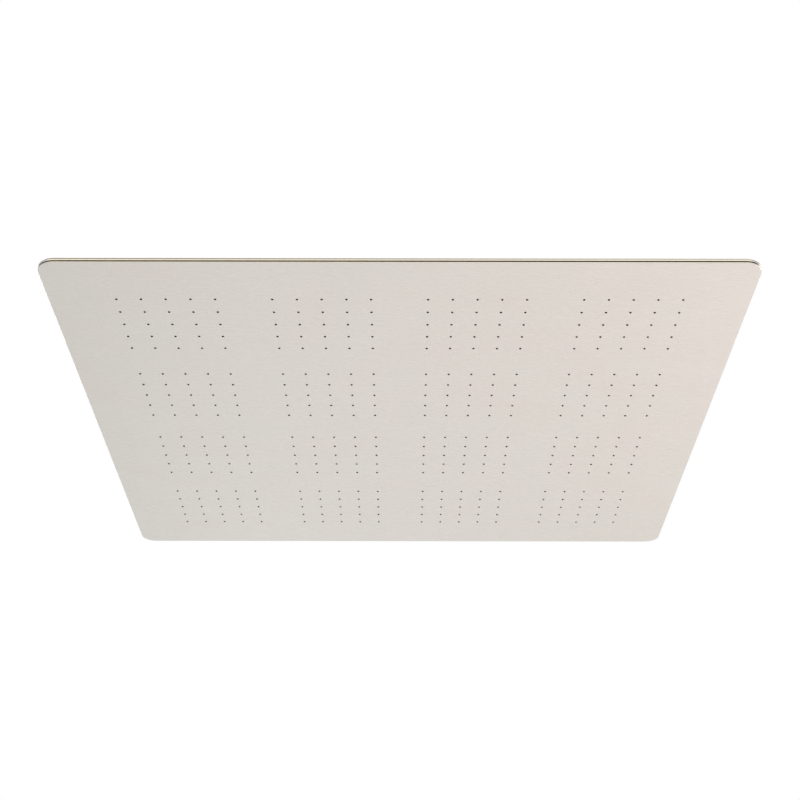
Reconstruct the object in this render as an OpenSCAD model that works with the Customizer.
// Square overhead shower head in thin stainless sheet, fed by a ball swivel in the middle of its back.
// The spray face looks down, along -Z, and the threaded inlet opens up, along +Z.
// The origin lies under the middle of the spray face, level with the nozzle tips.

/* [Plates] */
// Side of the square head
plate_side = 500; // [450:5:700]
// Radius of the head's corners, seen from below
corner_r = 13; // [9:1:24]
// Thickness of the perforated face sheet
face_t = 1; // [0.8:0.1:1.6]
// Radius on the face sheet's outer edges
face_edge_r = 0.3; // [0.1:0.05:0.35]
// Thickness of the back sheet
back_t = 1; // [0.8:0.1:1.3]
// Outside height of the back sheet's turned-down rim
rim_h = 2.5; // [2.2:0.1:4]
// Outside radius of the fold at the top of the rim
fold_r = 1.5; // [1.4:0.1:2]
// Height of the dark seam between the face sheet and the rim
seam_h = 0.8; // [0.5:0.1:1.5]
// Depth from the rim's outside to the seal that shows in the seam
seam_depth = 0.6; // [0.3:0.1:0.9]
// Width of the seal, measured from its outer edge inwards
seal_w = 8; // [5:0.5:12]

/* [Raised pan] */
// Width of the flat border between the rim and the foot of the raised pan
border_w = 24; // [16:1:25]
// Height of the pan above the border
pan_h = 6; // [5.5:0.5:10]
// Radius of the pan's corners at its foot
pan_corner_r = 26; // [20:1:30]
// Inside radius of the pan's bends
pan_bend_r = 2; // [1:0.5:3]

/* [Jets] */
// Distance between neighbouring jets of a group
jet_pitch = 17.6; // [14:0.2:18]
// Distance from the outermost jets to the head's edge
jet_margin = 48.3; // [46:0.1:58]
// Diameter of the holes in the face sheet
jet_hole_d = 1.8; // [1.5:0.1:3]
// Gap all round a nozzle in its hole
jet_gap = 0.05; // [0.02:0.01:0.1]
// Diameter of a nozzle at its tip
tip_d = 1.4; // [1.2:0.1:1.4]
// How far a nozzle stands out of the face
tip_h = 0.4; // [0.2:0.1:1]
// Diameter of the water hole in a nozzle
bore_d = 0.7; // [0.5:0.1:0.9]

/* [Nozzle mats] */
// Thickness of a silicone mat
mat_t = 1; // [0.8:0.1:1.2]
// Width of the mat outside its outermost jets
mat_margin = 6.8; // [6:0.2:8]
// Radius of the mat's corners
mat_corner_r = 5; // [3:0.5:8]
// Diameter of the raised ring round each jet, on the water side
ring_d = 4.4; // [4:0.2:5]
// Height of that ring above the mat
ring_h = 0.5; // [0.3:0.1:0.7]

/* [Clamp plate] */
// Thickness of the plate that clamps the mats
clamp_t = 0.8; // [0.6:0.1:1]
// How far the clamp plate laps over the edge of each mat
clamp_lap = 3.8; // [3:0.2:4]
// Diameter of the weld studs
stud_d = 3; // [2.5:0.5:4]
// Length of stud that shows above its nut
stud_proud = 0.8; // [0.4:0.1:1]
// Width across flats of the stud nuts
stud_nut_af = 5.5; // [5.5:0.5:6.5]
// Height of the stud nuts
stud_nut_h = 2; // [1.6:0.2:2.4]
// Distance from the outermost mats to the outer row of studs
stud_margin = 5; // [4.5:0.5:6]
// Width of the clamp plate outside its outer row of studs
clamp_edge = 4.5; // [3:0.5:6]
// Diameter of the stay posts between the face and the pan
post_d = 6; // [4:0.5:8]
// Gap all round a post or stud in the clamp plate
post_gap = 0.3; // [0.2:0.1:0.5]

/* [Ball swivel] */
// Diameter of the ball
ball_d = 24; // [22:0.5:26]
// Diameter of the neck above the ball
neck_d = 13; // [12.5:0.5:14]
// Diameter of the water passage through the ball
water_d = 10; // [8:0.5:10.5]
// Tilt to each side that the swivel allows
swivel_deg = 15; // [8:1:15]
// Thickness of the slip ring between the ball and the collar
slip_t = 1; // [0.8:0.1:1.4]
// Running gap between spherical faces
slip_gap = 0.05; // [0.03:0.01:0.08]
// Gap left between the neck and the collar's lip at full tilt
lip_gap = 0.5; // [0.3:0.1:1]
// Depth of the seat ring's top below the ball's centre
seat_drop = 2; // [1.8:0.1:2.2]
// Wall of the seat ring, outside the ball
seat_wall = 2; // [1.5:0.1:3]
// Cord diameter of the sealing ring under the ball
o_ring_cord_d = 3; // [2.5:0.1:3.2]
// Mean radius of that sealing ring
o_ring_r = 8.5; // [8.3:0.1:9]
// Height left between the sealing ring and the seat ring above it
seal_room = 0.45; // [0.3:0.05:1]

/* [Inlet boss and nuts] */
// Wall of the boss round the seat ring
boss_wall = 2.4; // [2:0.1:4]
// Thickness of the boss's floor under the sealing ring
boss_floor_t = 1.8; // [1.5:0.1:3]
// Radius of the boss's flange inside the pan
flange_r = 30; // [26:1:36]
// Thickness of that flange
flange_t = 2; // [1.6:0.1:3]
// Thickness of the washer between the flange and the pan
boss_washer_t = 1; // [0.5:0.1:1.5]
// Width across flats of the locknut on the pan
locknut_af = 42; // [40:1:50]
// Height of the locknut
locknut_h = 3.4; // [2.5:0.1:3.6]
// Wall of the collar nut at its foot
collar_wall = 3; // [2.5:0.1:5]
// Height of the collar nut above the ball's centre
collar_top = 10; // [9.5:0.1:10.5]
// Wall of the collar nut's top rim, beside its mouth
collar_rim_w = 3; // [2:0.1:4]
// Number of grip flutes round the collar nut
flute_count = 16; // [8:1:24]
// Depth of a grip flute
flute_depth = 0.7; // [0.4:0.1:1]
// Gap all round a screwed or pressed fit
thread_gap = 0.05; // [0.03:0.01:0.1]

/* [Inlet socket] */
// Height of the hexagon's underside above the ball's centre
hex_foot = 17; // [17:0.5:22]
// Width across flats of the hexagon
hex_af = 27; // [26:0.5:28]
// Radius of the threaded wall of the half-inch inlet
thread_r = 9.3; // [9.2:0.05:9.4]
// Length of that threaded wall
thread_l = 10; // [8:0.5:14]
// Width of the chamfer at the inlet's mouth
mouth_c = 1; // [0.5:0.1:1.5]
// Depth of the washer chamber under the thread
chamber_h = 3.4; // [3:0.1:5]
// Extra radius of the washer chamber over the thread
chamber_step = 0.5; // [0.3:0.1:1]
// Thickness of the inlet washer
washer_t = 2; // [1.5:0.1:2.2]
// Inside radius of the inlet washer
washer_bore_r = 6.6; // [6:0.1:7.5]
// Thickness of the filter screen
screen_t = 0.5; // [0.3:0.1:0.6]
// Distance between the holes of the filter screen
screen_pitch = 1.9; // [1.5:0.1:2.5]
// Diameter of the holes of the filter screen
screen_hole_d = 1.2; // [0.8:0.1:1.3]
// Radius of the flow restrictor
restrictor_r = 6.2; // [6:0.1:6.4]
// Height of the flow restrictor
restrictor_h = 2.8; // [2:0.1:3]

/* [Spreader] */
// Radius of the disc that turns the water outwards
spreader_r = 28; // [22:1:30]
// Thickness of that disc
spreader_t = 1; // [0.8:0.1:1.2]
// Height of the water gap between the disc and the boss
spreader_gap = 1.6; // [1:0.1:1.8]
// Radius of the disc's pegs
peg_r = 1.5; // [1:0.1:2]
// Length of peg inside the boss
peg_l = 1.4; // [1:0.1:1.5]

/* [Hidden] */
$fn = 72;
jet_fn = 24;
groups = 4;
group_jets = 5;
mat_places = [for (row = [1:groups], col = [1:groups]) [row, col]];
function mat_name(place) = str("nozzle_mat_", place[0], "_", place[1]);

// Colours
steel = [0.80, 0.79, 0.77];
inner_steel = [0.66, 0.67, 0.68];
chrome = [0.86, 0.87, 0.88];
brass = [0.78, 0.64, 0.36];
silicone = [0.16, 0.16, 0.17];
seal_black = [0.10, 0.09, 0.09];
acetal = [0.92, 0.92, 0.90];
poly_blue = [0.25, 0.38, 0.60];

// Heights of the plates, from the nozzle tips up
face_z = tip_h;
inside_z = face_z + face_t;
lip_z = inside_z + seam_h;
rim_z = lip_z + rim_h;
pan_z = rim_z + pan_h;
roof_z = pan_z - back_t;
half_side = plate_side / 2;

// Raised pan
pan_half = half_side - border_w;
bend_tan = tan(45 / 2);
pan_outer_bend_r = pan_bend_r + back_t;
pan_reach = bend_tan * pan_outer_bend_r;
// Flat width that a bent strip shares with the sheet beside it
sheet_lap = 1;
pan_flat = pan_reach + sheet_lap;

// Jets and mats
jet_span = (group_jets - 1) * jet_pitch / 2;
group_pitch = 2 * (half_side - jet_margin - jet_span) / (groups - 1);
mat_half = jet_span + mat_margin;
nozzle_r = jet_hole_d / 2 - jet_gap;
mat_top = inside_z + mat_t;
funnel_wall = 0.7;
tip_round = 0.2;

// Clamp plate, studs and posts
window_half = mat_half - clamp_lap;
clamp_z = mat_top;
clamp_top = clamp_z + clamp_t;
stud_out = (groups - 1) * group_pitch / 2 + mat_half + stud_margin;
stud_rows = [-stud_out, -group_pitch, 0, group_pitch, stud_out];
clamp_half = stud_out + clamp_edge;
clamp_corner_r = 8;
// Share of a hexagon's width that its turned-down face keeps
hex_crown = 0.95;

// Ball joint, measured from the ball's centre
ball_r = ball_d / 2;
neck_r = neck_d / 2;
water_r = water_d / 2;
slip_in = ball_r + slip_gap;
slip_out = slip_in + slip_t;
hood_r = slip_out + slip_gap;
// Both tilts together lean the stem by this much
full_tilt = acos(cos(swivel_deg) * cos(swivel_deg));
lip_angle = full_tilt + asin((neck_r + lip_gap) / hood_r);
lip_r = hood_r * sin(lip_angle);
lip_h = hood_r * cos(lip_angle);
mouth_r = lip_r + (collar_top - lip_h) * tan(full_tilt);
slip_top_angle = lip_angle + 3;
slip_foot_angle = 80;
seat_r = ball_r + seat_wall;
pocket_r = seat_r + slip_gap;
boss_r = pocket_r + boss_wall;
cord_r = o_ring_cord_d / 2;
o_ring_h = -sqrt(pow(ball_r + slip_gap + cord_r, 2) - o_ring_r * o_ring_r);
seat_foot = o_ring_h + cord_r + seal_room;
seat_h = -seat_drop - seat_foot;
cup_r = o_ring_r + cord_r + slip_gap;
cup_floor = o_ring_h - cord_r - slip_gap;
boss_foot = cup_floor - boss_floor_t;
boss_top = -seat_drop;
boss_bore_r = water_r + 1;
ball_z = roof_z - boss_washer_t - flange_t - boss_foot;
collar_foot = pan_z + locknut_h + 0.4 - ball_z;
collar_r = boss_r + thread_gap + collar_wall;
collar_skirt = 2;
boss_clearance = 0.3;
collar_edge = 0.8;

// Inlet socket, measured from the ball's centre
restrictor_shelf = hex_foot + 1.6;
chamber_foot = restrictor_shelf + restrictor_h;
thread_foot = chamber_foot + chamber_h;
thread_top = thread_foot + thread_l;
stem_top = thread_top + mouth_c;
neck_flare = 3;
screen_r = thread_r - 0.2;
screen_rings = 3;
restrictor_holes = 6;
restrictor_hole_r = 1.1;
restrictor_hole_at = 3.6;

// Spreader
spreader_top = ball_z + boss_foot - spreader_gap;
peg_count = 3;
peg_at = spreader_r - 3;
peg_foot_r = peg_r + 1;

// Square with rounded corners
module rounded_square(half, r) {
    square([2 * half, 2 * (half - r)], center = true);
    square([2 * (half - r), 2 * half], center = true);
    for (x = [-1, 1], y = [-1, 1])
        translate([x * (half - r), y * (half - r)]) circle(r);
}

// Flat sheet with rounded corners, standing on height z
module sheet(half, r, z, t) {
    translate([0, 0, z]) linear_extrude(t) rounded_square(half, r);
}

// Carries a profile once round a square with rounded corners.
// The profile's x runs outwards from the corner's centre, and its y runs up.
module around(half, r) {
    run = half - r;
    for (quarter = [0:3])
        rotate(90 * quarter) translate([run, run, 0]) {
            rotate_extrude(angle = 90) children();
            rotate([90, 0, 0]) linear_extrude(2 * run) children();
        }
}

module at_groups() {
    for (place = mat_places)
        translate(group_centre(place)) children();
}

function group_centre(place) = [
    (place[1] - (groups + 1) / 2) * group_pitch,
    ((groups + 1) / 2 - place[0]) * group_pitch
];

module at_jets() {
    for (i = [0:group_jets - 1], j = [0:group_jets - 1])
        translate([i * jet_pitch - jet_span, j * jet_pitch - jet_span]) children();
}

// A stud stands at every crossing of the stud rows but the middle one, under the inlet
module at_studs() {
    for (x = stud_rows, y = stud_rows)
        if (x != 0 || y != 0) translate([x, y]) children();
}

// The posts stand between the groups, level with the groups' centres
module at_posts() {
    for (i = [-1:1], k = [0:groups - 1])
        translate([i * group_pitch, (k - (groups - 1) / 2) * group_pitch]) children();
}

// Perforated sheet with softly rounded outer edges
module face_edge_profile() {
    band = 2 * face_edge_r;
    translate([corner_r - band, 0]) square([band - face_edge_r, face_t]);
    translate([corner_r - band, face_edge_r]) square([band, face_t - 2 * face_edge_r]);
    for (y = [face_edge_r, face_t - face_edge_r])
        translate([corner_r - face_edge_r, y]) circle(face_edge_r, $fn = jet_fn);
}

module face_plate() {
    band = 2 * face_edge_r;
    color(steel) {
        translate([0, 0, face_z]) linear_extrude(face_t) difference() {
            rounded_square(half_side - band, corner_r - band);
            at_groups() at_jets() circle(d = jet_hole_d, $fn = jet_fn);
        }
        translate([0, 0, face_z]) around(half_side, corner_r) face_edge_profile();
    }
}

// Rectangle from the corner's centre outwards, with its upper outer corner rounded
module shoulder(w, h, r) {
    square([w - r, h]);
    square([w, h - r]);
    translate([w - r, h - r]) circle(r);
}

module rim_profile() {
    inner = corner_r - fold_r - sheet_lap;
    intersection() {
        difference() {
            shoulder(corner_r, rim_h, fold_r);
            translate([-back_t, -back_t]) shoulder(corner_r, rim_h, fold_r - back_t);
        }
        translate([inner, 0]) square([fold_r + sheet_lap, rim_h]);
    }
}

// Everything below a step that climbs inwards at 45 degrees from the point 0, 0, with both bends rounded
module below_step(top_r, foot_r) {
    along = bend_tan * cos(45);
    wide = pan_h + pan_reach + sheet_lap + back_t;
    difference() {
        union() {
            polygon([
                [bend_tan * foot_r, 0],
                [-along * foot_r, along * foot_r],
                [-pan_h + along * top_r, pan_h - along * top_r],
                [-pan_h - bend_tan * top_r, pan_h],
                [-wide, pan_h],
                [-wide, -2 * back_t],
                [wide, -2 * back_t],
                [wide, 0]
            ]);
            translate([-pan_h - bend_tan * top_r, pan_h - top_r]) circle(top_r);
        }
        translate([bend_tan * foot_r, foot_r]) circle(foot_r);
    }
}

// The sheet's own thickness through that step, from flat to flat
module pan_wall_profile() {
    intersection() {
        difference() {
            below_step(pan_outer_bend_r, pan_bend_r);
            translate([-bend_tan * back_t, -back_t]) below_step(pan_bend_r, pan_outer_bend_r);
        }
        translate([-pan_h - pan_flat, -back_t]) square([pan_h + 2 * pan_flat, pan_h + back_t]);
    }
}

// Back sheet: folded rim, flat border, raised pan and the hole for the inlet boss
module back_plate() {
    crown = pan_h + pan_reach;
    color(steel) {
        translate([0, 0, lip_z]) around(half_side, corner_r) rim_profile();
        translate([0, 0, rim_z - back_t]) linear_extrude(back_t) difference() {
            rounded_square(half_side - fold_r, corner_r - fold_r);
            rounded_square(pan_half + pan_reach, pan_corner_r + pan_reach);
        }
        translate([0, 0, rim_z]) around(pan_half, pan_corner_r)
            translate([pan_corner_r, 0]) pan_wall_profile();
        translate([0, 0, roof_z]) linear_extrude(back_t) difference() {
            rounded_square(pan_half - crown, pan_corner_r - crown);
            circle(boss_r + thread_gap);
        }
    }
}

// Rubber seal: a tongue under the rim's edge and a body inside the fold
module rim_seal() {
    inner = corner_r - seam_depth - seal_w;
    color(seal_black) translate([0, 0, inside_z]) around(half_side, corner_r) {
        translate([inner, 0]) square([seal_w, seam_h]);
        translate([inner, 0]) square([corner_r - fold_r - inner, seam_h + rim_h - back_t]);
    }
}

// One nozzle, turned round its jet: ring on the water side, shank in the sheet, rounded tip outside
module nozzle() {
    tip_r = tip_d / 2;
    rotate_extrude($fn = jet_fn) polygon([
        [0, 0],
        [tip_r - tip_round, 0],
        [tip_r, tip_round],
        [nozzle_r, face_z],
        [nozzle_r, inside_z],
        [ring_d / 2, inside_z],
        [ring_d / 2, mat_top + ring_h],
        [0, mat_top + ring_h]
    ]);
}

// The water's way through a nozzle: a funnel, then a fine bore
module nozzle_bore() {
    funnel_r = ring_d / 2 - funnel_wall;
    skin = 0.01;
    translate([0, 0, -skin]) cylinder(d = bore_d, h = mat_top + ring_h, $fn = jet_fn);
    translate([0, 0, inside_z])
        cylinder(r1 = bore_d / 2, r2 = funnel_r, h = mat_t + ring_h + skin, $fn = jet_fn);
}

module nozzle_mat(place) {
    color(silicone) translate(group_centre(place)) difference() {
        union() {
            sheet(mat_half, mat_corner_r, inside_z, mat_t);
            at_jets() nozzle();
        }
        at_jets() nozzle_bore();
    }
}

// Thin plate with a window over each mat, held down by the stud nuts
module clamp_plate() {
    color(inner_steel) translate([0, 0, clamp_z]) linear_extrude(clamp_t) difference() {
        rounded_square(clamp_half, clamp_corner_r);
        at_groups() rounded_square(window_half, mat_corner_r - 1);
        at_studs() circle(stud_d / 2 + post_gap, $fn = jet_fn);
        at_posts() circle(post_d / 2 + post_gap, $fn = jet_fn);
    }
}

module clamp_studs() {
    stud_l = clamp_top + stud_nut_h + stud_proud - inside_z;
    color(inner_steel) at_studs() translate([0, 0, inside_z])
        cylinder(d = stud_d, h = stud_l, $fn = jet_fn);
}

// Hexagon with its corners turned down at the top, and at the foot too where both is true
module hex_block(af, z, h, both = false) {
    corner = af / 2 / cos(30);
    crown = hex_crown * af / 2;
    turned = (corner - crown) * tan(30);
    intersection() {
        translate([0, 0, z]) cylinder(r = corner, h = h, $fn = 6);
        translate([0, 0, z]) rotate_extrude() polygon([
            [0, 0],
            [both ? crown : corner, 0],
            [corner, both ? turned : 0],
            [corner, h - turned],
            [crown, h],
            [0, h]
        ]);
    }
}

module clamp_nuts() {
    color(inner_steel) at_studs() difference() {
        hex_block(stud_nut_af, clamp_top, stud_nut_h);
        translate([0, 0, inside_z])
            cylinder(r = stud_d / 2 + thread_gap, h = pan_z, $fn = jet_fn);
    }
}

// Posts welded between the sheets, so that water pressure can't swell the pan
module stay_posts() {
    color(inner_steel) at_posts() translate([0, 0, inside_z])
        cylinder(d = post_d, h = roof_z - inside_z, $fn = jet_fn);
}

module at_ball() {
    translate([0, 0, ball_z]) children();
}

module at_pegs() {
    for (k = [0:peg_count - 1])
        rotate(360 * k / peg_count) translate([peg_at, 0, 0]) children();
}

// Brass boss: flange inside the pan, threaded neck outside, pocket for the seat and the sealing ring
module inlet_boss() {
    color(brass) at_ball() difference() {
        union() {
            translate([0, 0, boss_foot]) cylinder(r = flange_r, h = flange_t);
            translate([0, 0, boss_foot]) cylinder(r = boss_r, h = boss_top - boss_foot);
        }
        translate([0, 0, seat_foot - slip_gap]) cylinder(r = pocket_r, h = seat_h + ball_d);
        translate([0, 0, cup_floor]) cylinder(r = cup_r, h = ball_d);
        translate([0, 0, boss_foot - 1]) cylinder(r = boss_bore_r, h = ball_d);
        at_pegs() translate([0, 0, boss_foot - 1])
            cylinder(r = peg_r + thread_gap, h = peg_l + thread_gap + 1, $fn = jet_fn);
    }
}

module boss_washer() {
    color(seal_black) translate([0, 0, roof_z - boss_washer_t]) difference() {
        cylinder(r = flange_r, h = boss_washer_t);
        translate([0, 0, -1]) cylinder(r = boss_r + thread_gap, h = boss_washer_t + 2);
    }
}

module boss_locknut() {
    color(chrome) difference() {
        hex_block(locknut_af, pan_z, locknut_h);
        translate([0, 0, pan_z - 1]) cylinder(r = boss_r + thread_gap, h = locknut_h + 2);
    }
}

// Moulded disc with a low cone in the middle and three pegs pressed into the boss
module spreader() {
    cone_h = spreader_gap / 2;
    color(acetal) translate([0, 0, spreader_top - spreader_t]) {
        cylinder(r = spreader_r, h = spreader_t);
        translate([0, 0, spreader_t]) cylinder(r1 = boss_bore_r, r2 = 1, h = cone_h);
        at_pegs() {
            translate([0, 0, spreader_t]) cylinder(r = peg_foot_r, h = spreader_gap, $fn = jet_fn);
            translate([0, 0, spreader_t]) cylinder(r = peg_r, h = spreader_gap + peg_l, $fn = jet_fn);
        }
    }
}

module ball_o_ring() {
    color(seal_black) at_ball() translate([0, 0, o_ring_h])
        rotate_extrude() translate([o_ring_r, 0]) circle(cord_r, $fn = jet_fn);
}

// Ring with a hollow spherical face, which carries the ball from below
module ball_seat() {
    color(acetal) at_ball() difference() {
        translate([0, 0, seat_foot]) cylinder(r = seat_r, h = seat_h);
        sphere(slip_in);
    }
}

// Zone of a hollow sphere, between the ball and the collar's hood
module slip_ring() {
    top = slip_in * cos(slip_top_angle);
    foot = slip_in * cos(slip_foot_angle);
    color(acetal) at_ball() intersection() {
        difference() {
            sphere(slip_out);
            sphere(slip_in);
        }
        translate([0, 0, foot]) cylinder(r = hood_r, h = top - foot);
    }
}

// Collar nut: screws on the boss, and its hood keeps the ball and the slip ring down
module collar_nut() {
    grip_r = 3 * flute_depth;
    rim_r = mouth_r + collar_rim_w;
    hood_foot = boss_top + boss_clearance;
    color(chrome) at_ball() difference() {
        rotate_extrude() polygon([
            [0, collar_foot],
            [collar_r - collar_edge, collar_foot],
            [collar_r, collar_foot + collar_edge],
            [collar_r, collar_skirt],
            [rim_r + collar_edge, collar_top - collar_edge],
            [rim_r, collar_top],
            [0, collar_top]
        ]);
        translate([0, 0, collar_foot - 1])
            cylinder(r = boss_r + thread_gap, h = hood_foot - collar_foot + 1);
        translate([0, 0, hood_foot - 1]) cylinder(r = hood_r, h = 1 - hood_foot);
        sphere(hood_r);
        translate([0, 0, lip_h])
            cylinder(r1 = lip_r, r2 = mouth_r + tan(full_tilt), h = collar_top - lip_h + 1);
        for (k = [0:flute_count - 1])
            rotate(360 * k / flute_count)
                translate([collar_r + grip_r - flute_depth, 0, collar_foot - 1])
                    cylinder(r = grip_r, h = collar_skirt - collar_foot, $fn = jet_fn);
    }
}

// Brass stem: ball, neck and hexagon in one turned piece, with the inlet socket at the top
module ball_stem() {
    color(chrome) at_ball() difference() {
        union() {
            sphere(ball_r);
            cylinder(r = neck_r, h = hex_foot);
            translate([0, 0, hex_foot - neck_flare])
                cylinder(r1 = neck_r, r2 = neck_r + neck_flare, h = neck_flare);
            hex_block(hex_af, hex_foot, stem_top - hex_foot, both = true);
        }
        translate([0, 0, -ball_d]) cylinder(r = water_r, h = ball_d + stem_top);
        translate([0, 0, restrictor_shelf])
            cylinder(r = restrictor_r + thread_gap, h = stem_top - restrictor_shelf);
        translate([0, 0, chamber_foot]) cylinder(r = thread_r + chamber_step, h = chamber_h);
        translate([0, 0, thread_foot - 1]) cylinder(r = thread_r, h = thread_l + 1);
        translate([0, 0, thread_top])
            cylinder(r1 = thread_r, r2 = thread_r + 2 * mouth_c, h = 2 * mouth_c);
    }
}

module flow_restrictor() {
    color(poly_blue) at_ball() translate([0, 0, restrictor_shelf]) difference() {
        cylinder(r = restrictor_r, h = restrictor_h);
        for (k = [0:restrictor_holes - 1])
            rotate(360 * k / restrictor_holes) translate([restrictor_hole_at, 0, -1])
                cylinder(r = restrictor_hole_r, h = restrictor_h + 2, $fn = jet_fn);
    }
}

// Perforated disc, its holes in rings of six, twelve and eighteen round a middle one
module filter_screen() {
    color(inner_steel) at_ball() translate([0, 0, chamber_foot]) linear_extrude(screen_t)
        difference() {
            circle(screen_r);
            circle(d = screen_hole_d, $fn = jet_fn);
            for (ring = [1:screen_rings], k = [0:6 * ring - 1])
                rotate(60 * k / ring) translate([ring * screen_pitch, 0])
                    circle(d = screen_hole_d, $fn = jet_fn);
        }
}

module inlet_washer() {
    color(seal_black) at_ball() translate([0, 0, chamber_foot + screen_t]) difference() {
        cylinder(r = screen_r, h = washer_t);
        translate([0, 0, -1]) cylinder(r = washer_bore_r, h = washer_t + 2);
    }
}

face_plate();
rim_seal();
back_plate();
for (place = mat_places)
    nozzle_mat(place);
clamp_plate();
clamp_studs();
clamp_nuts();
stay_posts();
inlet_boss();
boss_washer();
boss_locknut();
spreader();
ball_o_ring();
ball_seat();
slip_ring();
collar_nut();
ball_stem();
flow_restrictor();
filter_screen();
inlet_washer();
